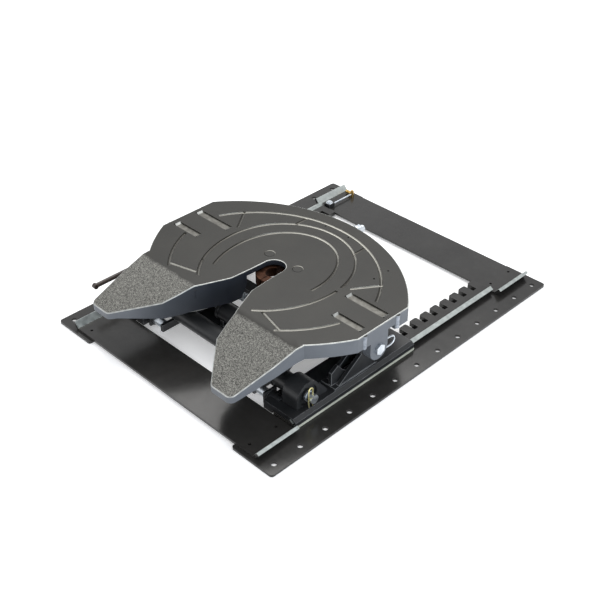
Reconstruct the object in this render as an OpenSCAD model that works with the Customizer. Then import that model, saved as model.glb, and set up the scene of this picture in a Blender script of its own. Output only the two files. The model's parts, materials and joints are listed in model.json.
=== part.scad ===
// Fifth wheel hitch: a pitching top plate with a kingpin lock, carried on a carriage that slides
// along a pair of toothed rails and is locked to them by two plungers.
// +Y is forwards (the cab), +X is the right-hand rail, +Z is up. The origin lies on the mounting
// plane, midway between the rails and midway along them.

/* [Base frame] */
// Length of each mounting rail
rail_length = 1294; // [1290:2:1330]
// Distance from the centre plane to a rail's outer edge
rail_out = 500; // [495:1:520]
// Width of a rail's flange
rail_width = 165; // [160:1:170]
// Thickness of the flanges and of the two cross plates
flange_t = 8; // [8:0.5:9]
// Pitch of the mounting holes along a rail
hole_pitch = 101.6; // [101.6]
// Diameter of a mounting hole
hole_d = 17.5; // [16:0.5:20]
// Width of a cross plate, front to back
cross_plate_w = 158; // [150:1:160]

/* [Rack] */
// Distance from the centre plane to the tips of the teeth
rack_in = 322; // [320:1:324]
// Pitch of the teeth
tooth_pitch = 50.8; // [50.8]
// Width of a tooth at its tip
tooth_w = 33; // [31:0.5:34]
// Depth of the slot between two teeth
slot_depth = 40; // [38:1:42]
// Thickness of the rack plate
rack_t = 16; // [14:1:16]

/* [Carriage] */
// Where the carriage's feet end at the back
foot_rear = -471; // [-472:1:-468]
// Where the carriage's feet end at the front
foot_front = 50; // [40:1:56]
// Outer radius of the cross tube
tube_r = 30; // [28:1:30]
// Height of the tilt axis above the mounting plane
tilt_z = 138; // [136:1:140]
// Distance of the tilt axis from the origin, along Y
tilt_y = -150; // [-152:1:-148]
// Radius of a bracket pin
pin_r = 16; // [15:0.5:16]

/* [Top plate] */
// Height of the plate's bearing face
plate_top = 223; // [221:1:226]
// Half width of the plate across its trunnions
plate_half = 440; // [438:1:442]
// Front edge of the plate
plate_front = 200; // [196:1:204]
// Thickness of the plate's skin
skin_t = 18; // [16:1:20]
// Depth of the rim, from the bearing face down
rim_depth = 50; // [48:1:52]
// Thickness of the rim's wall
rim_t = 13; // [12:0.5:14]
// Slope of the pickup ramps, in degrees
ramp_slope = 15; // [14:0.5:15]

/* [Kingpin lock] */
// Distance of the kingpin's centre from the origin, along Y
kingpin_y = -155; // [-155]
// Radius of the closed jaws' bore, which takes a two inch kingpin's neck
jaw_bore_r = 26.4; // [26:0.1:26.8]
// Travel of the yoke from locked to open
yoke_travel = 60; // [60]

/* [Hidden] */
$fn = 64;

cast_grey = [0.30, 0.29, 0.28];
plate_grey = [0.24, 0.23, 0.22];
black_paint = [0.12, 0.12, 0.13];
zinc = [0.78, 0.80, 0.82];
yellow_zinc = [0.80, 0.74, 0.40];
brass = [0.72, 0.55, 0.25];
oxide = [0.45, 0.28, 0.20];
rubber_black = [0.07, 0.07, 0.07];

rail_in = rail_out - rail_width;
hole_x = rail_out - 30;
hole_count = 13;
rack_top = flange_t + rack_t;
cross_y = 476 + cross_plate_w / 2;
cross_top = 2 * flange_t;
slot_w = tooth_pitch - tooth_w;

// The rack's flared edge, and the gap that the foot keeps from it
flare_foot_x = 397;
flare_tip = [407.5, rack_top + 2.5];
flare_top = [394, rack_top + 10];
slide_gap = 0.5;
foot_top = 40;
foot_in = 282;
foot_rib_x = 318;
foot_len = foot_front - foot_rear;

// Cross tube, lock plungers and their air cylinder
tube_y = -390;
tube_z = 70;
plunger_y = -8.5 * tooth_pitch;
plunger_z = rack_top - rack_t / 2 + 8;
arm_x = 208;
arm_t = 12;
cylinder_y = -294;
spring_y = -200;
upper_z = 80;
barrel_r = 31;
deck_top = 46;

// Top plate: two arcs make its front and its rear flanks
front_arc_y = -345;
front_arc_r = 545;
flank_arc = [-108, 41];
flank_arc_r = 617;
crease_y = -400;
tip_y = -629;
skin_z = plate_top - skin_t;
rim_z = plate_top - rim_depth;
lug_r = 38;

// Kingpin lock
jaw_pivot = [63, -112];
// The open jaws swing in front of this line
jaw_room_y = -232;
jaw_low = 167;
jaw_high = 201;
lever_pivot = [110, 50];
lever_z = 150;
handle_y = -41.7;
handle_z = 140;
yoke_z = 184;

// ---------- shared shapes ----------

module on_right() children();
module on_left() mirror([1, 0, 0]) children();

// A flat shape drawn in X and Z, made len long, centred on y
module along_y(y, len) {
    translate([0, y + len / 2, 0]) rotate([90, 0, 0]) linear_extrude(len) children();
}

// A flat shape drawn in Y and Z, made from x0 to x1
module along_x(x0, x1) {
    translate([x0, 0, 0]) rotate([90, 0, 90]) linear_extrude(x1 - x0) children();
}

// A round bar along X from x0 to x1
module bar_x(x0, x1, y, z, r, sides = 64) {
    translate([x0, y, z]) rotate([0, 90, 0]) cylinder(r = r, h = x1 - x0, $fn = sides);
}

module bar_y(x, y0, y1, z, r, sides = 64) {
    translate([x, y1, z]) rotate([90, 0, 0]) cylinder(r = r, h = y1 - y0, $fn = sides);
}

module block(low, high) {
    translate(low) cube(high - low);
}

// A rectangle with round corners
module round_rect(low, high, r) {
    translate([low[0] + r, low[1]]) square([high[0] - low[0] - 2 * r, high[1] - low[1]]);
    translate([low[0], low[1] + r]) square([high[0] - low[0], high[1] - low[1] - 2 * r]);
    for (x = [low[0] + r, high[0] - r], y = [low[1] + r, high[1] - r])
        translate([x, y]) circle(r = r);
}

function arc(c, r, a0, a1, n) =
    [for (i = [0 : n]) c + r * [cos(a0 + (a1 - a0) * i / n), sin(a0 + (a1 - a0) * i / n)]];

// Outward normal of the edge from a to b, on an outline that runs anticlockwise
function edge_normal(a, b) = [b[1] - a[1], a[0] - b[0]] / norm(b - a);

// An anticlockwise outline moved inwards by t
function inset(pts, t) = [
    for (i = [0 : len(pts) - 1])
        let (n = len(pts), a = pts[(i + n - 1) % n], b = pts[i], c = pts[(i + 1) % n],
             n1 = edge_normal(a, b), n2 = edge_normal(b, c))
        b - t * (n1 + n2) / (1 + n1 * n2)
];

function unit(v) = v / norm(v);
function path_dir(p, i) = unit(p[min(i + 1, len(p) - 1)] - p[max(i - 1, 0)]);

// A round rod swept along points; up is any direction that the path never follows
module sweep(points, r, sides, up) {
    n = len(points);
    rings = [
        for (i = [0 : n - 1])
            let (t = path_dir(points, i), u = unit(cross(t, up)), v = cross(t, u))
            for (k = [0 : sides - 1]) points[i] + r * (u * cos(360 * k / sides) + v * sin(360 * k / sides))
    ];
    walls = [
        for (i = [0 : n - 2], k = [0 : sides - 1])
            let (k2 = (k + 1) % sides)
            [i * sides + k, (i + 1) * sides + k, (i + 1) * sides + k2, i * sides + k2]
    ];
    polyhedron(
        points = rings,
        faces = concat(
            walls,
            [[for (k = [0 : sides - 1]) k]],
            [[for (k = [sides - 1 : -1 : 0]) (n - 1) * sides + k]]
        ),
        convexity = 10
    );
}

function coil(x0, x1, r, turns, per_turn) = [
    for (i = [0 : turns * per_turn])
        [x0 + (x1 - x0) * i / (turns * per_turn), r * cos(360 * i / per_turn), r * sin(360 * i / per_turn)]
];

// ---------- base frame ----------

module rail() {
    difference() {
        linear_extrude(flange_t)
            round_rect([rail_in, -rail_length / 2], [rail_out, rail_length / 2], 10);
        for (i = [0 : hole_count - 1])
            translate([hole_x, (i - (hole_count - 1) / 2) * hole_pitch, -1])
                cylinder(d = hole_d, h = flange_t + 2);
    }
}
module rail_right() color(plate_grey) rail();
module rail_left() color(plate_grey) on_left() rail();

module tooth() {
    tip_r = 6;
    translate([rack_in + tip_r, -tooth_w / 2]) square([slot_depth - tip_r + 2, tooth_w]);
    translate([rack_in, tip_r - tooth_w / 2]) square([slot_depth, tooth_w - 2 * tip_r]);
    for (s = [-1, 1])
        translate([rack_in + tip_r, s * (tooth_w / 2 - tip_r)]) circle(r = tip_r);
}

module rack() {
    slot_end = rack_in + slot_depth;
    teeth_each_way = 9;
    rack_len = 2 * teeth_each_way * tooth_pitch + tooth_w;
    along_y(0, rack_len)
        polygon([
            [slot_end, flange_t], [flare_foot_x, flange_t], flare_tip, flare_top,
            [flare_top[0] - 6, rack_top], [slot_end, rack_top]
        ]);
    for (i = [-teeth_each_way : teeth_each_way])
        translate([0, i * tooth_pitch, flange_t]) linear_extrude(rack_t) tooth();
}
module rack_right() color(plate_grey) rack();
module rack_left() color(plate_grey) on_left() rack();

// The ends of a cross plate turn up and outwards over the rails
module cross_plate(y) {
    z0 = flange_t;
    z1 = cross_top;
    end = [[418, z0], [435.5, z1 + 13], [427, z1 + 19], [411, z1]];
    difference() {
        along_y(y, cross_plate_w)
            polygon(concat(end, [for (i = [3 : -1 : 0]) [-end[i][0], end[i][1]]]));
        for (x = [-372, 372], dy = [-1, 1])
            translate([x, y + dy * hole_pitch / 2 + sign(y) * 3.8, 0]) cylinder(d = 9, h = 60);
    }
}
module cross_plate_front() color(plate_grey) cross_plate(cross_y);
module cross_plate_rear() color(plate_grey) cross_plate(-cross_y);

air_block_at = [-374, 494];
elbow_at = [-368, 612];
line_z = cross_top + 10;

module air_block() color(black_paint)
    translate([air_block_at[0] - 14, air_block_at[1] - 14, cross_top])
        difference() {
            cube([28, 28, 16]);
            translate([22, 20, line_z - cross_top]) rotate([-90, 0, 0]) cylinder(r = 3.2, h = 9);
        }
module air_block_cap() color(zinc)
    translate([air_block_at[0], air_block_at[1], cross_top + 16]) {
        cylinder(r = 12.5, h = 2);
        cylinder(r = 9, h = 6);
    }
module air_tube() color(zinc)
    difference() {
        bar_y(air_block_at[0] + 8, air_block_at[1] + 6, elbow_at[1] - 7, line_z, 3.2);
        bar_y(air_block_at[0] + 8, air_block_at[1], elbow_at[1], line_z, 1.8);
    }
module brass_elbow() color(brass) {
    x = air_block_at[0] + 8;
    translate([x, elbow_at[1], cross_top]) cylinder(r = 7, h = 20);
    bar_x(x - 26, x, elbow_at[1], line_z, 5);
    translate([x - 30, elbow_at[1], line_z]) rotate([0, 90, 0]) cylinder(r = 7.5, h = 10, $fn = 6);
    translate([x, elbow_at[1], cross_top + 20]) cylinder(r = 5, h = 5, $fn = 6);
}

// ---------- carriage ----------

// Distance of the foot's hook from the rack's flared edge is slide_gap to 2 mm
module foot() {
    difference() {
        along_y(foot_rear + foot_len / 2, foot_len)
            polygon([
                [foot_in, 10], [foot_rib_x, 10], [foot_rib_x, rack_top + slide_gap],
                [387.4, rack_top + slide_gap], [393.6, rack_top + 11.6], [409.6, rack_top + 3],
                [409.6, 17], [415.5, 17], [415.5, 31], [404, foot_top], [foot_in, foot_top]
            ]);
        bar_x(foot_in - 1, foot_rib_x + 1, plunger_y, plunger_z, 20);
        block([foot_rib_x - 1, plunger_y - 10, plunger_z - 10], [366, plunger_y + 10, plunger_z + 1]);
    }
}
module foot_right() color(black_paint) foot();
module foot_left() color(black_paint) on_left() foot();

module gib() {
    along_y(foot_rear + foot_len / 2 + 3, foot_len - 6)
        polygon([[400.2, 9.2], [417, 9.2], [417, 17], [404, 17]]);
}
module gib_right() color(zinc) gib();
module gib_left() color(zinc) on_left() gib();

module pedestal() {
    pad = 6;
    boss_r = 30;
    z0 = foot_top + pad;
    difference() {
        union() {
            block([345, -296, foot_top], [403, -112, z0]);
            for (x = [[350, 362], [388, 400]])
                along_x(x[0], x[1]) {
                    polygon([[-276, z0], [-180, 112], [-184, tilt_z], [-116, tilt_z], [-116, z0]]);
                    translate([tilt_y, tilt_z]) circle(r = 34);
                }
            along_x(372, 384)
                polygon([[-292, z0], [-292, 90], [-264, 106], [-243, 79], [-228, 70], [-150, 70], [-150, z0]]);
            bar_x(350, 400, tilt_y, tilt_z, boss_r);
            block([361, -124, z0 - 1], [389, -116, 96]);
        }
        bar_x(340, 410, tilt_y, tilt_z, pin_r + 5);
    }
}
module pedestal_right() color(black_paint) pedestal();
module pedestal_left() color(black_paint) on_left() pedestal();

module bush() {
    difference() {
        bar_x(350, 400, tilt_y, tilt_z, pin_r + 5);
        bar_x(349, 401, tilt_y, tilt_z, pin_r + 0.08);
    }
}
module bush_right() color(rubber_black) bush();
module bush_left() color(rubber_black) on_left() bush();

module cross_tube() color(black_paint)
    difference() {
        union() {
            bar_x(-345, 345, tube_y, tube_z, tube_r);
            for (x = [-264, 254]) bar_x(x, x + 10, tube_y, tube_z, tube_r + 3);
        }
        bar_x(-346, 346, tube_y, tube_z, tube_r - 6);
    }

module front_tube() color(black_paint)
    difference() {
        block([-350, -172, 48], [350, -128, 88]);
        block([-351, -167, 53], [351, -133, 83]);
    }

module deck() color(black_paint)
    difference() {
        union() {
            block([-190, -345, 36], [190, -216, deck_top]);
            for (x = [-185, 170]) block([x, -366, deck_top - 4], [x + 15, -172, deck_top + 12]);
            for (x = [-72, 58]) block([x, cylinder_y - 30, deck_top - 1], [x + 14, cylinder_y + 30, 66]);
            block([-7, -222, deck_top - 10], [7, -186, upper_z + 16]);
        }
        bar_x(-200, 200, tube_y, tube_z, tube_r);
        bar_x(-83, 83, cylinder_y, upper_z, barrel_r);
        bar_x(-10, 10, spring_y, upper_z, 6);
    }

// The block that holds the cross tube's end and its retaining pin
module lock_block() {
    block_r = 46;
    boss_r = 20;
    difference() {
        union() {
            along_x(325, 385) {
                translate([tube_y, tube_z]) circle(r = block_r);
                translate([tube_y - block_r, foot_top]) square([2 * block_r, tube_z - foot_top]);
            }
            along_x(373, 385)
                polygon([[-346, foot_top], [-346, 92], [-310, 46], [-310, foot_top]]);
        }
        bar_x(324, 345, tube_y, tube_z, tube_r);
        difference() {
            bar_x(377, 386, tube_y, tube_z, 36);
            bar_x(376, 387, tube_y, tube_z, boss_r);
        }
        bar_x(344, 400, tube_y, tube_z, 14.5);
        block([320, tube_y - 60, 0], [390, tube_y + 60, foot_top]);
    }
}
module lock_block_right() color(black_paint) lock_block();
module lock_block_left() color(black_paint) on_left() lock_block();

cotter_x = 403;
module block_pin() {
    difference() {
        union() {
            bar_x(345, 412, tube_y, tube_z, 14.5);
            bar_x(385, 389, tube_y, tube_z, 18);
        }
        translate([cotter_x, tube_y, 0]) cylinder(r = 2.6, h = 200);
    }
}
module block_pin_right() color(zinc) block_pin();
module block_pin_left() color(zinc) on_left() block_pin();

// A hairpin cotter: its straight leg goes through the pin and the other one grips it from outside
module cotter() {
    bow = tube_y - 8;
    grip = tube_y - 17.2;
    sweep(
        [for (p = concat(
            [[tube_y, 43], [tube_y, 70], [tube_y, 98]],
            arc([bow, 104], 8, 0, 190, 8),
            [[grip, 92], [grip, 58], [grip + 3, 44]]
        )) [cotter_x, p[0], p[1]]],
        2.4, 8, [1, 0, 0]
    );
}
module cotter_right() color(yellow_zinc) cotter();
module cotter_left() color(yellow_zinc) on_left() cotter();

module sleeve() {
    difference() {
        union() {
            bar_x(264, foot_rib_x, plunger_y, plunger_z, 20);
            block([264, plunger_y - 24, 8.5], [273, plunger_y + 24, 47]);
        }
        bar_x(260, 320, plunger_y, plunger_z, 15.4);
    }
}
module sleeve_right() color(black_paint) sleeve();
module sleeve_left() color(black_paint) on_left() sleeve();

module cylinder_barrel() color(black_paint)
    difference() {
        bar_x(-83, 83, cylinder_y, upper_z, barrel_r);
        bar_x(-84, 84, cylinder_y, upper_z, 27);
    }

module cylinder_caps() color(black_paint)
    for (x = [-95, 83])
        difference() {
            union() {
                bar_x(x, x + 12, cylinder_y, upper_z, 33);
                translate([x + 6, cylinder_y - 12, upper_z + 24]) cylinder(r = 5.5, h = 15, $fn = 6);
            }
            bar_x(x - 1, x + 13, cylinder_y, upper_z, 8.4);
        }

module spring_rod() color(zinc) bar_x(-276, 276, spring_y, upper_z, 6);

// The cylinder's air line, over the cross tube and into the left block
hose_route = [
    [-89, -306, 121], [-92, -313, 119], [-98, -330, 114], [-108, -353, 110], [-119, -378, 109],
    [-135, -402, 108], [-158, -418, 106], [-190, -424, 104], [-225, -423, 103], [-262, -418, 103],
    [-295, -410, 105], [-324, -402, 107]
];
module air_hose() color(zinc) sweep(hose_route, 4.5, 10, [0, 0, 1]);

module plunger() {
    tip_half = 6.9;
    bar_x(arm_x + arm_t, 272, plunger_y, plunger_z, 15);
    block([271, plunger_y - tip_half, flange_t + 2.5], [foot_rib_x, plunger_y + tip_half, rack_top - 1.5]);
}
module plunger_right() color(zinc) plunger();
module plunger_left() color(zinc) on_left() plunger();

// The plate that ties a plunger to its piston rod and spring
module plunger_arm() {
    difference() {
        along_x(arm_x, arm_x + arm_t)
            polygon([
                [-450, 10], [-310, 10], [-240, 60], [-184, 60], [-184, 98], [-312, 98],
                [-344, 36], [-450, 36]
            ]);
        bar_x(arm_x - 1, arm_x + arm_t + 1, spring_y, upper_z, 6.5);
        bar_x(arm_x - 1, arm_x + arm_t + 1, cylinder_y, upper_z, 8);
    }
}
module plunger_arm_right() color(black_paint) plunger_arm();
module plunger_arm_left() color(black_paint) on_left() plunger_arm();

module piston() {
    bar_x(20, 32, cylinder_y, upper_z, 26.6);
    bar_x(32, arm_x + arm_t + 12, cylinder_y, upper_z, 8);
    bar_x(arm_x + arm_t, arm_x + arm_t + 9, cylinder_y, upper_z, 14, 6);
}
module piston_right() color(zinc) piston();
module piston_left() color(zinc) on_left() piston();

module plunger_spring() {
    translate([0, spring_y, upper_z]) sweep(coil(10, arm_x - 3, 13, 14, 10), 2.4, 6, [1, 0, 0]);
}
module plunger_spring_right() color(zinc) plunger_spring();
module plunger_spring_left() color(zinc) on_left() plunger_spring();

// ---------- top plate ----------

module plate_disc(t) {
    intersection() {
        translate([0, front_arc_y]) circle(r = front_arc_r - t, $fn = 256);
        translate([t - plate_half, crease_y]) square([2 * (plate_half - t), plate_front - t - crease_y]);
        translate(flank_arc) circle(r = flank_arc_r - t, $fn = 256);
        mirror([1, 0]) translate(flank_arc) circle(r = flank_arc_r - t, $fn = 256);
    }
}

// One pickup ramp: its inner edge is the throat, and its tip has round corners
ramp_edge = concat(
    [[66, -340], [79, -371], [95, -405], [108, -455], [124, -504], [182, -568]],
    arc([247, tip_y + 20], 20, 225, 270, 4),
    arc([302, tip_y + 22], 22, 270, 352, 6),
    [[342, -480], [350, -385], [351, -372]]
);

// The throat in the flat part of the plate
throat_side = [[38, kingpin_y], [40, -215], [46, -291], [54, -312], [66, -340], [79, -371], [95, -405]];
throat_edge = concat([for (p = throat_side) [-p[0], p[1]]],
                     [for (i = [len(throat_side) - 1 : -1 : 0]) throat_side[i]]);

module throat(t) {
    polygon(inset(throat_edge, -t));
    translate([0, kingpin_y]) circle(r = 38 + t);
}

module plan(t) {
    difference() {
        union() {
            plate_disc(t);
            polygon(inset(ramp_edge, t));
            mirror([1, 0]) polygon(inset(ramp_edge, t));
        }
        throat(t);
    }
}

// Side view of the casting, and of the hollow inside it
tip_top = plate_top + (tip_y - crease_y) * tan(ramp_slope);
outer_profile = [
    [plate_front, plate_top], [crease_y, plate_top], [tip_y - 1, tip_top], [tip_y - 1, tip_top - 22],
    [crease_y, rim_z], [plate_front, rim_z]
];
hollow_profile = [
    [plate_front, skin_z], [crease_y, skin_z], [tip_y + 14, tip_top - 11], [tip_y + 14, tip_top - 60],
    [crease_y, rim_z - 60], [plate_front, rim_z - 60]
];

// The walls along the throat and the ramps' inner edges hang lower than the rim
wall_z = plate_top - 92;
wall_profile = [
    [jaw_room_y, rim_z], [jaw_room_y, skin_z + 2], [crease_y, skin_z + 2], [tip_y - 1, tip_top - 6],
    [tip_y - 1, tip_top - 17], [crease_y - 5, wall_z], [-256, wall_z]
];
module throat_walls() {
    intersection() {
        translate([0, 0, 100]) linear_extrude(200)
            intersection() {
                difference() {
                    plan(0);
                    plan(rim_t + 1);
                }
                polygon([[-100, jaw_room_y], [-130, -400], [-264, -606], [-246, -640],
                         [246, -640], [264, -606], [130, -400], [100, jaw_room_y]]);
            }
        along_x(-300, 300) polygon(wall_profile);
    }
}

// A rib from a to b under the skin
module rib(a, b, low, t = 8) {
    d = b - a;
    translate([a[0], a[1], low]) rotate([0, 0, atan2(d[1], d[0])])
        translate([0, -t / 2, 0]) cube([norm(d), t, skin_z + 1 - low]);
}

module lug(x0, x1) {
    along_x(x0, x1) {
        translate([tilt_y, tilt_z]) circle(r = lug_r);
        translate([tilt_y - lug_r, tilt_z]) square([2 * lug_r, skin_z + 2 - tilt_z]);
    }
}

module top_plate() color(cast_grey)
    difference() {
        union() {
            difference() {
                intersection() {
                    translate([0, 0, 100]) linear_extrude(200) plan(0);
                    along_x(-460, 460) polygon(outer_profile);
                }
                intersection() {
                    translate([0, 0, 100]) linear_extrude(200) {
                        plan(rim_t);
                        translate([-112, jaw_room_y]) square([224, 168 - jaw_room_y]);
                    }
                    along_x(-460, 460) polygon(hollow_profile);
                }
            }
            throat_walls();
            for (s = [-1, 1]) {
                rib([s * 116, -238], [s * 116, 172], 175);
                rib([s * 46, jaw_room_y - 4], [s * 120, jaw_room_y - 4], 175);
                rib([s * 116, -183], [s * 330, -183], 178);
                rib([s * 116, -117], [s * 330, -117], 178);
                rib([s * 116, 20], [s * 350, 55], 182);
                rib([s * 120, -236], [s * 335, -330], 182);
                rib([s * 116, 110], [s * 180, 155], 182);
                rib([s * 90, -398], [s * 340, -398], 182);
                rib([s * 190, -236], [s * 204, -436], 172);
                translate([s * (plate_half - 4), -70, rim_z]) cylinder(r = 9, h = rim_depth - 4);
                translate([s * (plate_half - 4), -214, rim_z]) cylinder(r = 9, h = rim_depth - 4);
                translate([s * jaw_pivot[0], jaw_pivot[1], jaw_high + 1]) cylinder(r = 26, h = 6);
            }
            rib([-116, 114], [116, 114], 168, 14);
            translate([lever_pivot[0], lever_pivot[1], lever_z + 9]) cylinder(r = 17, h = skin_z - lever_z - 8);
            lug(408, plate_half);
            lug(326, 342);
            mirror([1, 0, 0]) {
                lug(408, plate_half);
                lug(326, 342);
            }
        }
        for (x = [-460, 320]) bar_x(x, x + 140, tilt_y, tilt_z, pin_r);
        for (s = [-1, 1])
            translate([s * jaw_pivot[0], jaw_pivot[1], 150]) cylinder(r = 16, h = 100);
        translate([lever_pivot[0], lever_pivot[1], 140]) cylinder(r = 8, h = 60);
        bar_y(0, 90, 260, yoke_z, 11.4);
        for (s = [-1, 1]) block([s == 1 ? 424 : -450, -112, 150], [s == 1 ? 450 : -424, -82, 190]);
    }

module bracket_pin() {
    bar_x(323, plate_half + 1, tilt_y, tilt_z, pin_r);
    bar_x(plate_half + 0.05, plate_half + 9, tilt_y, tilt_z, 19, 6);
}
module bracket_pin_right() color(zinc) bracket_pin();
module bracket_pin_left() color(zinc) on_left() bracket_pin();

// The bent wire that keeps a bracket pin in its lug
module pin_keeper() {
    back = tilt_y + lug_r - 1;
    loop = concat(
        [[434, back, 151], [434, -92, 149]],
        [for (p = arc([-88, 133], 14, 75, -75, 6)) [434, p[0], p[1]]],
        [[434, -92, 117], [434, back - 6, 118]]
    );
    sweep(loop, 3, 10, [1, 0, 0]);
}
module pin_keeper_right() color(zinc) pin_keeper();
module pin_keeper_left() color(zinc) on_left() pin_keeper();

module lock_pins() color(cast_grey)
    for (s = [-1, 1])
        translate([s * jaw_pivot[0], jaw_pivot[1], 0]) {
            translate([0, 0, 160]) cylinder(r = 22, h = 6.5);
            translate([0, 0, 166]) cylinder(r = 16, h = plate_top - 166);
        }

module lever_bolt() color(zinc)
    translate([lever_pivot[0], lever_pivot[1], 0]) {
        translate([0, 0, lever_z - 8]) cylinder(r = 14, h = 7.5, $fn = 6);
        translate([0, 0, lever_z - 1]) cylinder(r = 8, h = 51);
    }

module handle_guide() color(black_paint)
    difference() {
        union() {
            block([-306, handle_y - 16, handle_z - 15], [-298, handle_y + 16, skin_z]);
            block([-320, handle_y - 16, skin_z - 6], [-298, handle_y + 16, skin_z]);
        }
        bar_x(-310, -290, handle_y, handle_z, 8.5);
    }

// ---------- kingpin lock ----------

module jaw() {
    thick = jaw_high - jaw_low;
    translate([0, 0, jaw_low])
        difference() {
            union() {
                intersection() {
                    translate([0, kingpin_y, 0]) cylinder(r = 58, h = thick);
                    translate([0.8, kingpin_y - 60, 0]) cube([60, 110, thick]);
                }
                translate(jaw_pivot) cylinder(r = 30, h = thick);
                linear_extrude(thick)
                    polygon([[9.8, -95], [22.6, -61], [42, -61], [84, -92], [84, -130], [20, -130]]);
            }
            translate([0, kingpin_y, -1]) cylinder(r = jaw_bore_r, h = thick + 2);
            translate([jaw_pivot[0], jaw_pivot[1], -1]) cylinder(r = 16.08, h = thick + 2);
            translate([0, 0, -1]) linear_extrude(thick + 2)
                polygon([[-1, -140], [13, -140], [9.8, -95], [9.8, -90], [-1, -90]]);
        }
}
module jaw_right() color(oxide) jaw();
module jaw_left() color(oxide) on_left() jaw();

module yoke() color(oxide)
    difference() {
        union() {
            translate([0, 0, jaw_low + 1]) linear_extrude(jaw_high - jaw_low - 2)
                polygon([[-8, -95], [8, -95], [21, -59.5], [40, -56], [40, -38], [-40, -38], [-40, -56], [-21, -59.5]]);
            block([-13, -56, 159.5], [13, 36, 164.5]);
            block([-13, -56, 159.5], [13, -40, jaw_low + 2]);
            translate([0, 20, 145]) cylinder(r = 6, h = 15);
        }
        bar_y(0, -70, -30, yoke_z, 11);
    }

module yoke_shaft() color(zinc) bar_y(0, -70, 262, yoke_z, 11);

module shaft_nut() color(zinc)
    difference() {
        union() {
            bar_y(0, 224, 230, yoke_z, 20);
            bar_y(0, 230, 250, yoke_z, 17.5, 6);
        }
        bar_y(0, 200, 270, yoke_z, 11);
    }

module yoke_spring() color(zinc)
    translate([0, 0, yoke_z]) rotate([0, 0, 90])
        sweep(coil(-36, 104, 14.6, 10, 10), 2.2, 6, [1, 0, 0]);

// A plate lever with two arms at right angles: one end takes the yoke's pin, the other the handle's
lever_ends = [[0, 20], [135, handle_y]];
lever_turn = atan2(lever_ends[1][1] - lever_pivot[1], lever_ends[1][0] - lever_pivot[0]);

module release_lever() color(black_paint) {
    d = [for (e = lever_ends) norm(e - lever_pivot)];
    translate([lever_pivot[0], lever_pivot[1], lever_z]) rotate([0, 0, lever_turn])
        difference() {
            linear_extrude(8)
                polygon(concat(
                    arc([0, -d[0] - 7], 15, 180, 360, 8),
                    [[14, -14]],
                    arc([d[1] + 7, 0], 15, -90, 90, 8),
                    arc([0, 0], 22, 90, 180, 6)
                ));
            translate([0, 0, -1]) cylinder(r = 8.08, h = 10);
            block([-7.5, -d[0] - 12, -1], [7.5, -d[0] + 12, 9]);
            block([d[1] - 12, -7.5, -1], [d[1] + 12, 7.5, 9]);
        }
}

// The pull rod: across under the plate, round its left side and back to the driver's reach
handle_x = -458;
handle_low = 103;
handle_rod = concat(
    [[148, handle_y, handle_z], [0, handle_y, handle_z], [-200, handle_y, handle_z], [-430, handle_y, handle_z]],
    [for (p = arc([-438, handle_y - 20], 20, 90, 180, 6)) [p[0], p[1], handle_z]],
    [
        [handle_x, -68, 139], [handle_x, -76, 135], [handle_x, -112, 107], [handle_x, -121, handle_low],
        [handle_x, -240, handle_low], [handle_x, -400, handle_low], [handle_x, -522, handle_low]
    ]
);
module release_handle() color(black_paint)
    difference() {
        union() {
            sweep(handle_rod, 8, 16, [0, 0, 1]);
            translate([135, handle_y, handle_z]) cylinder(r = 6, h = 20);
            translate([handle_x, -521, handle_low]) rotate([0, 90, 0]) cylinder(r = 9, h = 14, center = true);
        }
        translate([handle_x, -521, handle_low]) rotate([0, 90, 0]) cylinder(r = 3.5, h = 20, center = true);
    }

rail_right();
rail_left();
rack_right();
rack_left();
cross_plate_front();
cross_plate_rear();
air_block();
air_block_cap();
air_tube();
brass_elbow();
foot_right();
foot_left();
gib_right();
gib_left();
pedestal_right();
pedestal_left();
bush_right();
bush_left();
cross_tube();
front_tube();
deck();
lock_block_right();
lock_block_left();
block_pin_right();
block_pin_left();
cotter_right();
cotter_left();
sleeve_right();
sleeve_left();
cylinder_barrel();
cylinder_caps();
spring_rod();
air_hose();
plunger_right();
plunger_left();
plunger_arm_right();
plunger_arm_left();
piston_right();
piston_left();
plunger_spring_right();
plunger_spring_left();
top_plate();
bracket_pin_right();
bracket_pin_left();
pin_keeper_right();
pin_keeper_left();
lock_pins();
lever_bolt();
handle_guide();
jaw_right();
jaw_left();
yoke();
yoke_shaft();
shaft_nut();
yoke_spring();
release_lever();
release_handle();
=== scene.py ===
import json
import math

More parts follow.
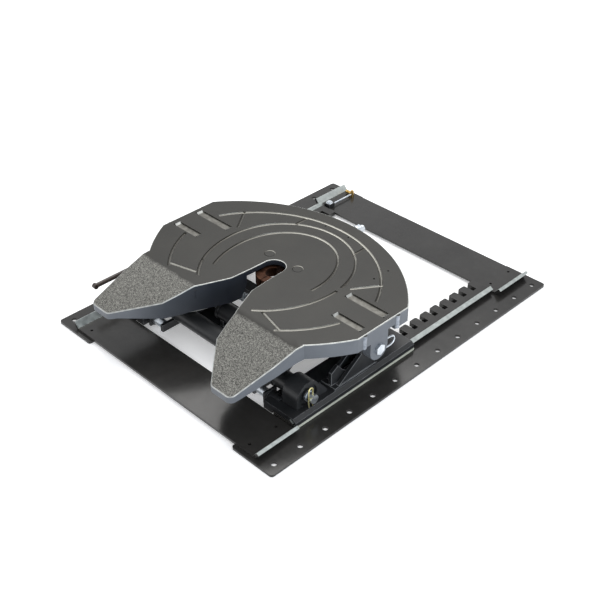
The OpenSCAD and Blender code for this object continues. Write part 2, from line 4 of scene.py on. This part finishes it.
import bpy
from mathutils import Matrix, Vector

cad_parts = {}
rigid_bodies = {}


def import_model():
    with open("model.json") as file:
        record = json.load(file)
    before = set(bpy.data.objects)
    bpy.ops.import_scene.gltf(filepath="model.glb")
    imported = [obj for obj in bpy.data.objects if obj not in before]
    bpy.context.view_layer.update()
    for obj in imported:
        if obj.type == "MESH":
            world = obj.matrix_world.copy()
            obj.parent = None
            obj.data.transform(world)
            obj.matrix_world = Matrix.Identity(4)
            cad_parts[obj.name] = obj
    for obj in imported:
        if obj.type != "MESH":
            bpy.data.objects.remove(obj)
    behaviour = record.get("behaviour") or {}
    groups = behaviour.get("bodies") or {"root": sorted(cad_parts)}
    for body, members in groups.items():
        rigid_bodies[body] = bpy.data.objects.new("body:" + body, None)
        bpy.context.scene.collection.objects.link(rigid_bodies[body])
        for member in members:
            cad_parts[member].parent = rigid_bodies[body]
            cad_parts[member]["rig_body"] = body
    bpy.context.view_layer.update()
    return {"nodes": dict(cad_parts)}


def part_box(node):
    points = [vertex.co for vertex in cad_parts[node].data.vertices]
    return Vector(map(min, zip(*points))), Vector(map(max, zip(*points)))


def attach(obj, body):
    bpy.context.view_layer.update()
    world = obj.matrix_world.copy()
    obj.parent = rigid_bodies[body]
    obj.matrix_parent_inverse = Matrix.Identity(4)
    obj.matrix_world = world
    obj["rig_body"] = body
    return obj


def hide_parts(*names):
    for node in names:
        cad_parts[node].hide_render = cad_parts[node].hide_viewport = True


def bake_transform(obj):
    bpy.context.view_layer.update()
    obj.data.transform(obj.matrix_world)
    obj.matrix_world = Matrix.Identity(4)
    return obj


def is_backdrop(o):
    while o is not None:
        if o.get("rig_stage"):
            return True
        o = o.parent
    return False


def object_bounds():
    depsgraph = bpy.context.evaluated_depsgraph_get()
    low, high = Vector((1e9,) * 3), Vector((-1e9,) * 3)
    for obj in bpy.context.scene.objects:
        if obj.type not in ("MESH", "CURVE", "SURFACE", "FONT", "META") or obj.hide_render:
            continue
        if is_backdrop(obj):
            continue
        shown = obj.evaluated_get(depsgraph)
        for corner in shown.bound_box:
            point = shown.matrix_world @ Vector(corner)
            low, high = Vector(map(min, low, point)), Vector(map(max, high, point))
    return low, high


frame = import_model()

bpy.ops.object.select_all(action="DESELECT")

# --- Studio ---
# A white room with a pale floor. A wide soft light hangs over the hitch and a cooler one stands
# to its right, so that faces turned that way look faintly blue.
AZIMUTH = math.radians(45)
ELEVATION = math.radians(35.51)
back = Vector((
    math.sin(AZIMUTH) * math.cos(ELEVATION),
    -math.cos(AZIMUTH) * math.cos(ELEVATION),
    math.sin(ELEVATION),
))
bpy.ops.object.camera_add(location=(1.99301, -2.03153, 2.04632))
camera = bpy.context.object
camera.rotation_euler = (-back).to_track_quat("-Z", "Y").to_euler()
camera.data.sensor_width = 36
camera.data.lens = 62.93
camera.data.clip_end = 60
bpy.context.scene.camera = camera
bpy.context.scene.view_settings.view_transform = "Standard"

world = bpy.data.worlds.new("white_room")
bpy.context.scene.world = world
world.use_nodes = True
world.node_tree.nodes["Background"].inputs["Color"].default_value = (0.97, 0.98, 1.0, 1)
world.node_tree.nodes["Background"].inputs["Strength"].default_value = 0.95


def soft_light(name, place, aim, size, power, colour):
    bpy.ops.object.light_add(type="AREA", location=place)
    light = bpy.context.object
    light.name = name
    light.rotation_euler = (Vector(aim) - Vector(place)).to_track_quat("-Z", "Y").to_euler()
    light.data.size = size
    light.data.energy = power
    light.data.color = colour


soft_light("overhead", (-1.2, 1.4, 3.2), (0, 0, 0), 2.4, 70, (1, 0.985, 0.96))
soft_light("right_side", (3.4, -0.8, 0.5), (0.3, -0.2, 0.15), 2.0, 55, (0.80, 0.90, 1.0))

bpy.ops.mesh.primitive_plane_add(size=14, location=(0, 0, -0.0006))
floor = bpy.context.object
floor.name = "floor"
floor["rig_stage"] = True
pale = bpy.data.materials.new("pale_floor")
pale.use_nodes = True
pale.node_tree.nodes["Principled BSDF"].inputs["Base Color"].default_value = (0.93, 0.93, 0.93, 1)
pale.node_tree.nodes["Principled BSDF"].inputs["Roughness"].default_value = 0.9
pale.node_tree.nodes["Principled BSDF"].inputs["Specular IOR Level"].default_value = 0.1
pale.node_tree.nodes["Principled BSDF"].inputs["Emission Color"].default_value = (1, 1, 1, 1)
pale.node_tree.nodes["Principled BSDF"].inputs["Emission Strength"].default_value = 0.28
floor.data.materials.append(pale)


# --- Base frame ---
# Two flanged rails, the toothed racks on their inner edges and two cross plates with turned-up
# ends. All are steel plate in a dark gloss paint, with the flame-cut edges left paler.
class Link:
    """An output of a shader node. Arithmetic on it adds Math nodes."""

    def __init__(self, finish, output):
        self.finish = finish
        self.output = output

    def math(self, operation, first, second):
        return self.finish.node("ShaderNodeMath", {"operation": operation}, {0: first, 1: second})

    def __add__(self, other):
        return self.math("ADD", self, other)

    def __sub__(self, other):
        return self.math("SUBTRACT", self, other)

    def __rsub__(self, other):
        return self.math("SUBTRACT", other, self)

    def __mul__(self, other):
        return self.math("MULTIPLY", self, other)

    __radd__ = __add__
    __rmul__ = __mul__


class Finish:
    """A material whose nodes are made in the order they are needed."""

    def __init__(self, name, **fixed):
        self.material = bpy.data.materials.new(name)
        self.material.use_nodes = True
        self.tree = self.material.node_tree
        self.surface = self.tree.nodes["Principled BSDF"]
        for socket, value in fixed.items():
            self.surface.inputs[socket.replace("_", " ")].default_value = value
        self.place = self.node("ShaderNodeTexCoord", output="Object")

    def node(self, kind, settings=None, inputs=None, output=0):
        made = self.tree.nodes.new(kind)
        for key, value in (settings or {}).items():
            if key == "stops":
                ramp = made.color_ramp.elements
                while len(ramp) < len(value):
                    ramp.new(1)
                for stop, (at, colour) in zip(ramp, value):
                    stop.position = at
                    stop.color = (*colour, 1)
            else:
                setattr(made, key, value)
        for key, value in (inputs or {}).items():
            if isinstance(value, Link):
                self.tree.links.new(value.output, made.inputs[key])
            else:
                made.inputs[key].default_value = value
        return Link(self, made.outputs[output])

    def part(self, vector, axis):
        return self.node("ShaderNodeSeparateXYZ", {}, {0: vector}, output=axis)

    def normal(self):
        return self.node("ShaderNodeNewGeometry", output="Normal")

    def noise(self, scale, detail=3, roughness=0.5):
        return self.node(
            "ShaderNodeTexNoise", {},
            {"Vector": self.place, "Scale": scale, "Detail": detail, "Roughness": roughness},
        )

    def ramp(self, value, low, high):
        """0 below low, 1 above high."""
        return self.node(
            "ShaderNodeMapRange", {},
            {"Value": value, "From Min": low, "From Max": high},
        )

    def blend(self, mask, first, second):
        return self.node(
            "ShaderNodeMix", {"data_type": "RGBA"},
            {0: mask, 6: (*first, 1) if isinstance(first, tuple) else first,
             7: (*second, 1) if isinstance(second, tuple) else second},
            output=2,
        )

    def feed(self, **links):
        for socket, link in links.items():
            self.tree.links.new(link.output, self.surface.inputs[socket.replace("_", " ")])

    def bump(self, height, distance, strength=1.0):
        normal = self.node(
            "ShaderNodeBump", {},
            {"Height": height, "Distance": distance, "Strength": strength},
        )
        self.feed(Normal=normal)


def gloss_paint(name, dark, light, roughness):
    finish = Finish(name, Specular_IOR_Level=0.3, Coat_Weight=0.08, Coat_Roughness=0.08)
    cloud = finish.ramp(finish.noise(5.0, 4), 0.35, 0.7)
    smear = finish.ramp(finish.noise(38.0, 5, 0.6), 0.4, 0.75)
    finish.feed(
        Base_Color=finish.blend(cloud * 0.6 + smear * 0.3, dark, light),
        Roughness=cloud * 0.05 + smear * 0.05 + roughness,
    )
    finish.bump(finish.noise(420.0, 2), 0.00006, 0.5)
    return finish.material


def bare_metal(name, dark, light, roughness, grain_scale=220.0, grain_height=0.00008):
    finish = Finish(name, Metallic=1.0)
    mottle = finish.ramp(finish.noise(60.0, 4, 0.6), 0.35, 0.7)
    speck = finish.noise(grain_scale, 3)
    finish.feed(
        Base_Color=finish.blend(mottle, dark, light),
        Roughness=mottle * 0.12 + speck * 0.1 + roughness,
    )
    finish.bump(speck, grain_height, 0.6)
    return finish.material


frame_paint = gloss_paint("frame_paint", (0.0215, 0.0207, 0.0195), (0.0335, 0.0322, 0.0303), 0.17)
cut_edge = bare_metal("cut_edge", (0.40, 0.43, 0.42), (0.56, 0.60, 0.58), 0.34)


def taken_from(node, name):
    """A welded copy of a CAD node, ready for work in edit mode."""
    source = frame["nodes"][node]
    piece = bpy.data.objects.new(name, source.data.copy())
    bpy.context.scene.collection.objects.link(piece)
    bpy.ops.object.select_all(action="DESELECT")
    piece.select_set(True)
    bpy.context.view_layer.objects.active = piece
    piece.data.materials.clear()
    if piece.data.has_custom_normals:
        bpy.ops.mesh.customdata_custom_splitnormals_clear()
    bpy.ops.object.mode_set(mode="EDIT")
    bpy.ops.mesh.select_all(action="SELECT")
    bpy.ops.mesh.remove_doubles(threshold=0.000005)
    bpy.ops.mesh.dissolve_limited(angle_limit=math.radians(0.4))
    bpy.ops.object.mode_set(mode="OBJECT")
    return piece


def stand_for(piece, *nodes):
    """Puts a finished piece in the place of the CAD nodes that it shows."""
    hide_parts(*nodes)
    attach(piece, frame["nodes"][nodes[0]]["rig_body"])


def even_shading(piece, angle):
    """Smooth shading that leaves the broad flat faces flat."""
    bpy.ops.object.shade_smooth_by_angle(angle=math.radians(angle))
    weigh = piece.modifiers.new("weigh", "WEIGHTED_NORMAL")
    weigh.keep_sharp = True
    weigh.weight = 100
    bpy.ops.object.modifier_apply(modifier="weigh")


def ease_edges(piece, width, segments, edge_index=-1):
    """Rounds the sharp edges; edge_index names the material slot of the rounded strips."""
    round_over = piece.modifiers.new("edges", "BEVEL")
    round_over.width = width
    round_over.segments = segments
    round_over.limit_method = "ANGLE"
    round_over.angle_limit = math.radians(32)
    round_over.use_clamp_overlap = True
    round_over.material = edge_index
    bpy.ops.object.modifier_apply(modifier="edges")
    even_shading(piece, 32)


def plate_piece(node, name, pale_above):
    """A frame plate whose turned-up edges end in a pale cut face."""
    piece = taken_from(node, name)
    piece.data.materials.append(frame_paint)
    piece.data.materials.append(cut_edge)
    for face in piece.data.polygons:
        slopes = abs(face.normal.x) > 0.4 and 0.5 < face.normal.z < 0.95
        if slopes and face.center.z > pale_above:
            face.material_index = 1
    ease_edges(piece, 0.0007, 2)
    stand_for(piece, node)


for side in ("right", "left"):
    plate_piece(f"rail_{side}", f"rail_plate_{side}", 1)
    plate_piece(f"rack_{side}", f"rack_plate_{side}", 0.025)
for end in ("front", "rear"):
    plate_piece(f"cross_plate_{end}", f"cross_plate_{end}_steel", 0.025)


# --- Air fittings on the front plate ---
# A black connection block under a round plated cap, and a thin plated tube to a brass elbow. They
# are fixed on the left end of the front cross plate, and take the truck's air line.
zinc = bare_metal("zinc_plate", (0.50, 0.55, 0.60), (0.74, 0.77, 0.80), 0.22)
brass = bare_metal("brass", (0.42, 0.27, 0.08), (0.66, 0.46, 0.17), 0.25)


def satin_paint(name, dark, light, roughness):
    finish = Finish(name, IOR=1.48)
    cloud = finish.ramp(finish.noise(9.0, 4), 0.35, 0.7)
    grain = finish.noise(260.0, 3)
    finish.feed(
        Base_Color=finish.blend(cloud, dark, light),
        Roughness=cloud * 0.08 + grain * 0.12 + roughness,
    )
    finish.bump(grain, 0.00012, 0.6)
    return finish.material


black_paint = satin_paint("black_paint", (0.010, 0.011, 0.012), (0.021, 0.022, 0.024), 0.30)
worn_edge = satin_paint("worn_edge", (0.15, 0.155, 0.16), (0.30, 0.31, 0.32), 0.35)


def turned_piece(node, name, finish, width=0.0006, segments=2, edges=None):
    """A CAD node with its edges eased, in one finish, or two where the edges are worn.

    A piece made of round wire has width 0: it is smoothed, and has no edges to ease.
    """
    piece = taken_from(node, name)
    piece.data.materials.append(finish)
    if edges:
        piece.data.materials.append(edges)
    if width:
        ease_edges(piece, width, segments, 1 if edges else -1)
    else:
        even_shading(piece, 60)
    stand_for(piece, node)


turned_piece("air_block", "air_connection_block", black_paint, edges=worn_edge)
turned_piece("air_block_cap", "air_connection_cap", zinc, 0.0008)
turned_piece("air_tube", "air_feed_tube", zinc, 0.0003)
turned_piece("brass_elbow", "air_elbow", brass, 0.0006)

# --- Carriage ---
# Welded and cast steel in satin black: feet that hook over the racks, the pedestals, the cross
# tube and its blocks, and the deck between them. Paint is thin along the edges, and each foot
# slides on a pale strip.
pale_strip = satin_paint("pale_strip", (0.40, 0.41, 0.35), (0.54, 0.55, 0.47), 0.32)
for side in ("right", "left"):
    turned_piece(f"foot_{side}", f"carriage_foot_{side}", black_paint, 0.0009, 2, worn_edge)
    turned_piece(f"gib_{side}", f"gib_strip_{side}", pale_strip, 0.0004)
    turned_piece(f"pedestal_{side}", f"bracket_pedestal_{side}", black_paint, 0.0009, 2, worn_edge)
    turned_piece(f"lock_block_{side}", f"tube_block_{side}", black_paint, 0.0012, 2, worn_edge)
    turned_piece(f"sleeve_{side}", f"plunger_sleeve_{side}", black_paint, 0.0008, 2, worn_edge)
    turned_piece(f"block_pin_{side}", f"tube_pin_{side}", zinc, 0.0008)
turned_piece("cross_tube", "carriage_tube", black_paint, 0.0008)
turned_piece("front_tube", "carriage_front_tube", black_paint, 0.0012, 2, worn_edge)
turned_piece("deck", "carriage_deck", black_paint, 0.0008, 2, worn_edge)

# --- Rubber bushes ---
# Black rubber rings pressed into the tops of the pedestals. The bracket pins turn in them, and
# they let the plate give a little when the truck twists.
rubber = satin_paint("bush_rubber", (0.010, 0.010, 0.010), (0.020, 0.020, 0.020), 0.62)
for side in ("right", "left"):
    turned_piece(f"bush_{side}", f"rubber_bush_{side}", rubber, 0.0004)

# --- Cotter pins ---
# Hairpins of spring wire, plated in yellow zinc. One through each tube pin's outer end keeps
# that pin in its block.
yellow_zinc = bare_metal("yellow_zinc", (0.62, 0.55, 0.24), (0.88, 0.84, 0.52), 0.24)
for side in ("right", "left"):
    turned_piece(f"cotter_{side}", f"hairpin_{side}", yellow_zinc, 0)

# --- Air cylinder ---
# A black barrel with screwed caps that drives both plungers, fed by a pale nylon hose that runs
# over the cross tube.
turned_piece("cylinder_barrel", "air_cylinder", black_paint, 0.0006)
turned_piece("cylinder_caps", "air_cylinder_caps", black_paint, 0.0014, 3, worn_edge)
turned_piece("spring_rod", "spring_guide_rod", zinc, 0.0008)
nylon = satin_paint("hose_nylon", (0.34, 0.35, 0.33), (0.46, 0.47, 0.45), 0.35)


def drawn_tube(name, points, radius, sides):
    """A round rod or wire along points, made a mesh with closed ends."""
    curve = bpy.data.curves.new(name, "CURVE")
    curve.dimensions = "3D"
    curve.bevel_depth = radius
    curve.bevel_resolution = sides // 2 - 2
    curve.use_fill_caps = True
    spline = curve.splines.new("POLY")
    spline.points.add(len(points) - 1)
    for knot, point in zip(spline.points, points):
        knot.co = (*point, 1)
    piece = bpy.data.objects.new(name, curve)
    bpy.context.scene.collection.objects.link(piece)
    bpy.ops.object.select_all(action="DESELECT")
    piece.select_set(True)
    bpy.context.view_layer.objects.active = piece
    bpy.ops.object.convert(target="MESH")
    piece = bpy.context.object
    bpy.ops.object.mode_set(mode="EDIT")
    bpy.ops.mesh.select_all(action="SELECT")
    bpy.ops.mesh.remove_doubles(threshold=0.00001)
    bpy.ops.mesh.normals_make_consistent(inside=False)
    bpy.ops.object.mode_set(mode="OBJECT")
    bpy.ops.object.shade_smooth_by_angle(angle=math.radians(50))
    return piece


def eased_route(knots, steps=6):
    """A smooth curve through knots (Catmull-Rom)."""
    route = []
    for i in range(len(knots) - 1):
        a, b, c, d = (Vector(knots[max(0, min(len(knots) - 1, i + k))]) for k in (-1, 0, 1, 2))
        for step in range(steps):
            t = step / steps
            route.append(0.5 * (2 * b + (c - a) * t + (2 * a - 5 * b + 4 * c - d) * t * t
                                + (3 * b - a - 3 * c + d) * t ** 3))
    return [*route, Vector(knots[-1])]


hose_route = [
    (-0.089, -0.306, 0.121), (-0.092, -0.313, 0.119), (-0.098, -0.330, 0.114),
    (-0.108, -0.353, 0.110), (-0.119, -0.378, 0.109), (-0.135, -0.402, 0.108),
    (-0.158, -0.418, 0.106), (-0.190, -0.424, 0.104), (-0.225, -0.423, 0.103),
    (-0.262, -0.418, 0.103), (-0.295, -0.410, 0.105), (-0.324, -0.402, 0.107),
]
hose = drawn_tube("air_line", eased_route(hose_route), 0.0045, 14)
hose.data.materials.append(nylon)
stand_for(hose, "air_hose")

# --- Lock plungers ---
# A plated steel plunger on each side, whose flat tip slides between two of the rack's teeth. A
# black arm plate joins it to the air cylinder's piston rod, which has a nut on its end.
for side in ("right", "left"):
    turned_piece(f"plunger_{side}", f"lock_plunger_{side}", zinc, 0.0008)
    turned_piece(
        f"plunger_arm_{side}", f"lock_plunger_arm_{side}", black_paint, 0.0009, 2, worn_edge,
    )
    turned_piece(f"piston_{side}", f"piston_rod_{side}", zinc, 0.0006)


# --- Springs ---
# Plated wire springs: one pushes each plunger out along the guide rod, and one drives the yoke
# home.
END_TURNS = 1.5


def wound_spring(name, low, high, middle, axis, radius, wire, turns):
    """A compression spring along X or Y, with closed turns at both ends."""
    points = []
    per_turn = 20
    total = round((turns + 2 * END_TURNS) * per_turn)
    span = high - low - 2 * wire
    for i in range(total + 1):
        turn = i / per_turn
        active = min(max(turn - END_TURNS, 0), turns)
        closed = min(turn, END_TURNS) + max(turn - turns - END_TURNS, 0)
        stretch = span - 2 * END_TURNS * 2 * wire
        along = low + wire + stretch * active / turns + closed * 2 * wire
        across = radius * math.cos(math.tau * turn)
        up = radius * math.sin(math.tau * turn)
        if axis == "X":
            points.append((along, middle[0] + across, middle[1] + up))
        else:
            points.append((middle[0] + across, along, middle[1] + up))
    spring = drawn_tube(name, points, wire, 8)
    spring.data.materials.append(zinc)
    return spring


for side, sign in (("right", 1), ("left", -1)):
    low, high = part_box(f"plunger_spring_{side}")
    middle = ((low.y + high.y) / 2, (low.z + high.z) / 2)
    spring = wound_spring(f"plunger_coil_{side}", low.x, high.x, middle, "X", 0.0130, 0.0023, 16)
    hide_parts(f"plunger_spring_{side}")
    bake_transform(spring)
low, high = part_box("yoke_spring")
middle = ((low.x + high.x) / 2, (low.z + high.z) / 2)
spring = wound_spring("yoke_coil", low.y, high.y, middle, "Y", 0.0146, 0.0021, 10)
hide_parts("yoke_spring")
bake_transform(spring)

# --- Top plate ---
# One iron casting: a machined bearing face with grease grooves and pockets, two gritty pickup
# ramps, and a rim coloured paler and bluish, partly its own tone and partly a painted reflection
# of the cool side light, with painted shade darkening it in the throat. The grooves are cut after
# the rim's edges are rounded.
plate_low, plate_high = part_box("top_plate")
FACE = plate_high.z
CREASE = -0.400


def cast_iron():
    finish = Finish("cast_iron", Specular_IOR_Level=0.29)
    wobble = finish.noise(30.0, 3) * 0.016 - 0.008
    ramp_zone = finish.ramp(CREASE - finish.part(finish.place, "Y") + wobble, -0.004, 0.006)
    flat = finish.ramp(finish.part(finish.normal(), "Z"), 0.55, 0.8)
    grit = finish.ramp(finish.noise(330.0, 2, 0.7), 0.44, 0.66)
    coarse = finish.ramp(finish.noise(150.0, 2), 0.4, 0.6)
    fine = finish.noise(900.0, 2)
    cloud = finish.ramp(finish.noise(7.0, 4), 0.3, 0.75)
    deck = finish.blend(
        cloud * 0.7 + fine * 0.5, (0.0100, 0.0094, 0.0070), (0.0230, 0.0216, 0.0165),
    )
    gritty = finish.blend(grit * 0.75 + coarse * 0.2, (0.035, 0.034, 0.030), (0.36, 0.355, 0.32))
    throat_shade_distance = finish.node(
        "ShaderNodeMath", {"operation": "ABSOLUTE"}, {0: finish.part(finish.place, "X")},
    )
    # Sides are coloured paler and bluish: partly the casting's own paler sides, partly a painted
    # reflection of the cool light from the right
    side_tone_and_sheen = finish.blend(cloud * 0.6 + fine * 0.4, (0.078, 0.086, 0.098), (0.142, 0.154, 0.172))
    # Painted shade: towards the middle, in the throat, the sides fade to near-black
    rim = finish.blend(finish.ramp(throat_shade_distance, 0.07, 0.20), (0.020, 0.024, 0.032), side_tone_and_sheen)
    top = finish.blend(ramp_zone, deck, gritty)
    finish.feed(
        Base_Color=finish.blend(flat, rim, top),
        Roughness=grit * ramp_zone * 0.2 + fine * 0.16 + 0.34,
    )
    height = fine * 0.35 + grit * ramp_zone * 2.2 * flat
    finish.bump(height, 0.0004, 0.7)
    return finish.material


def groove_metal():
    """Cut metal: painted light on the side that faces the rear, painted shade on all the rest."""
    finish = Finish("groove_face", Metallic=1.0)
    turned = finish.part(finish.normal(), "Y")
    mottle = finish.ramp(finish.noise(60.0, 4, 0.6), 0.35, 0.7)
    # Painted light and shade: walls turned to the rear are coloured bright, the others dark
    lit_side = finish.ramp(turned * -1, -0.05, 0.6) * (mottle * 0.25 + 0.75)
    finish.feed(
        Base_Color=finish.blend(lit_side, (0.040, 0.038, 0.034), (0.54, 0.53, 0.48)),
        Roughness=mottle * 0.12 + 0.26,
    )
    return finish.material


iron = cast_iron()
# Pale metal for rounded rim edges and pocket ends: a painted highlight
rim_edge_highlight = bare_metal("rim_edge_highlight", (0.34, 0.35, 0.34), (0.55, 0.56, 0.54), 0.30)
groove_face = groove_metal()
# Bright bluish metal for the corner bosses: a painted highlight
boss_highlight = bare_metal("boss_highlight", (0.18, 0.20, 0.23), (0.40, 0.43, 0.48), 0.25)
pocket_face = bare_metal(
    "pocket_face", (0.10, 0.097, 0.088), (0.21, 0.205, 0.19), 0.42,
    grain_scale=330.0, grain_height=0.0003,
)
# Near-black painted shade, for the pocket gutters and the screw holes
painted_shade_black = satin_paint("painted_shade_black", (0.006, 0.006, 0.006), (0.012, 0.012, 0.011), 0.45)
plate = taken_from("top_plate", "coupler_plate_casting")
plate.data.materials.append(iron)
plate.data.materials.append(rim_edge_highlight)
plate.data.materials.append(groove_face)
plate.data.materials.append(boss_highlight)

# Four rounded bosses, at the corners over the bracket pins, get a bright bluish metal colour: a
# painted highlight
BOSS_RADIUS = 0.009
BOSS_PLACES = (-0.070, -0.214)
for face in plate.data.polygons:
    beside = abs(face.center.x) - (plate_high.x - BOSS_RADIUS)
    reach = min(math.hypot(beside, face.center.y - y) for y in BOSS_PLACES)
    if reach < BOSS_RADIUS + 0.0005 and abs(face.normal.z) < 0.5:
        face.material_index = 3

# The rim's upper edges are rounded and coloured pale metal, a painted highlight; a ring round each
# jaw pin takes the groove colour, with its painted light and shade
RIM_ROUND = 0.0026
RAMP_SLOPE = math.radians(15)
PIN_HEAD = 0.022
PIN_RING = 0.020
pins_low, pins_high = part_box("lock_pins")
pin_centre = Vector((pins_high.x - PIN_HEAD, (pins_low.y + pins_high.y) / 2))
bpy.ops.object.mode_set(mode="EDIT")
bpy.ops.mesh.select_all(action="DESELECT")
bpy.ops.mesh.select_mode(type="EDGE")
bpy.ops.object.mode_set(mode="OBJECT")
faces_of_edge = {}
for face in plate.data.polygons:
    for key in face.edge_keys:
        faces_of_edge.setdefault(key, []).append(face)
for edge in plate.data.edges:
    joined = faces_of_edge.get(tuple(sorted(edge.vertices)), [])
    middle = sum((plate.data.vertices[v].co for v in edge.vertices), Vector()) / 2
    face_height = FACE + min(0, middle.y - CREASE) * math.tan(RAMP_SLOPE)
    if len(joined) == 2 and middle.z > face_height - 0.004:
        tops = [f.normal.z for f in joined]
        edge.select = max(tops) > 0.9 and min(tops) < 0.5
bpy.ops.object.mode_set(mode="EDIT")
bpy.ops.mesh.bevel(offset=RIM_ROUND, segments=3, clamp_overlap=False, material=1)
bpy.ops.object.mode_set(mode="OBJECT")
for face in plate.data.polygons:
    from_pin = Vector((abs(face.center.x), face.center.y)) - pin_centre
    if face.material_index == 1 and from_pin.length < PIN_RING:
        face.material_index = 2


def polar(centre_y, across, front, rear, start, stop, steps):
    """Points on an oval round (0, centre_y); angles run from the right, towards the front."""
    points = []
    for i in range(steps + 1):
        angle = math.radians(start + (stop - start) * i / steps)
        reach = front if math.sin(angle) > 0 else rear
        points.append((across * math.cos(angle), centre_y + reach * math.sin(angle)))
    return points


def mirrored(points):
    return [(-x, y) for x, y in points]


# Grease grooves: rounded channels cut by a rod laid along each line
inner_ring = polar(-0.140, 0.176, 0.205, 0.238, -6, 216, 60)
middle_front = polar(-0.125, 0.232, 0.240, 0.277, 8, 214, 60)
middle_rear = polar(-0.125, 0.232, 0.240, 0.277, -59, 3, 24)
middle_rear_left = polar(-0.125, 0.232, 0.240, 0.277, 214, 236, 8)
outer_front = polar(-0.234, 0.390, 0.385, 0.385, 25, 155, 48)
outer_rear = polar(-0.100, 0.370, 0.370, 0.370, -50, -19, 16)
cross_cuts = [
    [(0.131, 0.127), (0.131, 0.074)],
    [(0.253, -0.077), (0.312, 0.008)],
    [(0.150, -0.346), (0.248, -0.372)],
]
grooves = [
    inner_ring, middle_front, middle_rear, middle_rear_left,
    outer_front, outer_rear, mirrored(outer_rear),
    *cross_cuts, *(mirrored(line) for line in cross_cuts),
]
GROOVE_RADIUS = 0.0052
GROOVE_LIFT = 0.0012
cutters = []
for number, line in enumerate(grooves):
    rod = [(x, y, FACE + GROOVE_LIFT) for x, y in line]
    cutter = drawn_tube(f"groove_cutter_{number}", rod, GROOVE_RADIUS, 12)
    cutter.data.materials.append(groove_face)
    cutters.append(cutter)


# Grease pockets: two on each side, with a deeper gutter along the rear edge of each, coloured
# near-black as painted shade
POCKET_DEPTH = 0.0050
POCKET_TAPER = 0.014
GUTTER_DEPTH = 0.0090
GUTTER_WIDTH = 0.0040
GUTTER_INSET = 0.0040
pockets = [
    {"across": (0.262, 0.428), "along": (-0.116, -0.088)},
    {"across": (0.300, 0.424), "along": (-0.214, -0.188)},
]


def pocket_cutter(name, low, high, finish, taper=0.0):
    """A block sunk into the bearing face. Its two ends slope in by taper, and take a pale metal
    colour as a painted highlight.
    """
    middle = [(a + b) / 2 for a, b in zip(low, high)]
    bpy.ops.object.select_all(action="DESELECT")
    bpy.ops.mesh.primitive_cube_add(size=1, location=middle)
    cutter = bpy.context.object
    cutter.name = name
    cutter.scale = [b - a for a, b in zip(low, high)]
    bpy.ops.object.transform_apply(location=True, rotation=True, scale=True)
    for corner in cutter.data.vertices:
        if corner.co.z < FACE:
            corner.co.x += taper if corner.co.x < middle[0] else -taper
    cutter.data.materials.append(finish)
    cutter.data.materials.append(rim_edge_highlight)
    for face in cutter.data.polygons:
        face.material_index = 1 if taper and abs(face.normal.x) > 0.3 else 0
    return cutter


for sign in (1, -1):
    for number, pocket in enumerate(pockets):
        left, right = sorted(sign * x for x in pocket["across"])
        rear, front = pocket["along"]
        cutters.append(pocket_cutter(
            f"pocket_cutter_{number}_{sign}",
            (left, rear, FACE - POCKET_DEPTH), (right, front, FACE + POCKET_DEPTH),
            pocket_face, POCKET_TAPER,
        ))
        cutters.append(pocket_cutter(
            f"gutter_cutter_{number}_{sign}",
            (left + GUTTER_INSET, rear - 0.0005, FACE - GUTTER_DEPTH),
            (right - GUTTER_INSET, rear + GUTTER_WIDTH, FACE + POCKET_DEPTH),
            painted_shade_black,
        ))

# Blind holes for lifting screws, lined with the same near-black painted shade
HOLE_RADIUS = 0.0032
for x, y in ((-0.053, 0.135), (0.049, 0.136), (0.270, 0.080), (0.268, 0.016)):
    bpy.ops.object.select_all(action="DESELECT")
    bpy.ops.mesh.primitive_cylinder_add(
        vertices=20, radius=HOLE_RADIUS, depth=0.02, location=(x, y, FACE),
    )
    cutter = bpy.context.object
    bpy.ops.object.transform_apply(location=True, rotation=True, scale=True)
    cutter.data.materials.append(painted_shade_black)
    cutters.append(cutter)

for cutter in cutters:
    bpy.ops.object.select_all(action="DESELECT")
    plate.select_set(True)
    bpy.context.view_layer.objects.active = plate
    cut = plate.modifiers.new("cut", "BOOLEAN")
    cut.operation = "DIFFERENCE"
    cut.solver = "EXACT"
    cut.material_mode = "TRANSFER"
    cut.object = cutter
    bpy.ops.object.modifier_apply(modifier="cut")
    bpy.data.objects.remove(cutter)
even_shading(plate, 28)
stand_for(plate, "top_plate")

# --- Jaw pins and bracket pins ---
# The jaws' pivot pins are pressed in from below and finished flush with the bearing face. The
# bracket pins pass through the plate's lugs and the pedestals, and a bent wire keeps each one in.
turned_piece("lock_pins", "jaw_pivot_pins", iron, 0.0009)
for side in ("right", "left"):
    turned_piece(f"bracket_pin_{side}", f"plate_pin_{side}", zinc, 0.0012, 3)
    turned_piece(f"pin_keeper_{side}", f"pin_wire_{side}", zinc, 0)
turned_piece("lever_bolt", "lever_pivot_bolt", zinc, 0.0007)
turned_piece("handle_guide", "handle_guide_plate", black_paint, 0.0008, 2, worn_edge)

# --- Kingpin lock ---
# Two forged jaws with a brown oxide skin close round the kingpin, and a sliding yoke wedges them
# shut. The yoke is on a plated shaft that runs out through the plate's front wall to a nut.
# Very dark brown: the jaws' and yoke's oxide skin, darkened further with painted shade as for
# parts deep in the throat
oxide_and_shade = bare_metal(
    "brown_oxide", (0.030, 0.014, 0.009), (0.090, 0.043, 0.027), 0.48,
    grain_scale=140.0, grain_height=0.0002,
)
for side in ("right", "left"):
    turned_piece(f"jaw_{side}", f"kingpin_jaw_{side}", oxide_and_shade, 0.0014, 3)
turned_piece("yoke", "locking_yoke", oxide_and_shade, 0.0012)
turned_piece("yoke_shaft", "locking_shaft", zinc, 0.0010)
turned_piece("shaft_nut", "locking_shaft_nut", zinc, 0.0010)

# --- Release gear ---
# A flat steel lever bolted under the plate draws the yoke forward. The driver turns it with the
# long bent rod that comes out on the left.
turned_piece("release_lever", "unlocking_lever", black_paint, 0.0007, 2, worn_edge)
rod_paint = satin_paint("rod_paint", (0.030, 0.022, 0.018), (0.060, 0.045, 0.038), 0.30)
turned_piece("release_handle", "release_rod", rod_paint, 0)

low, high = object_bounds()
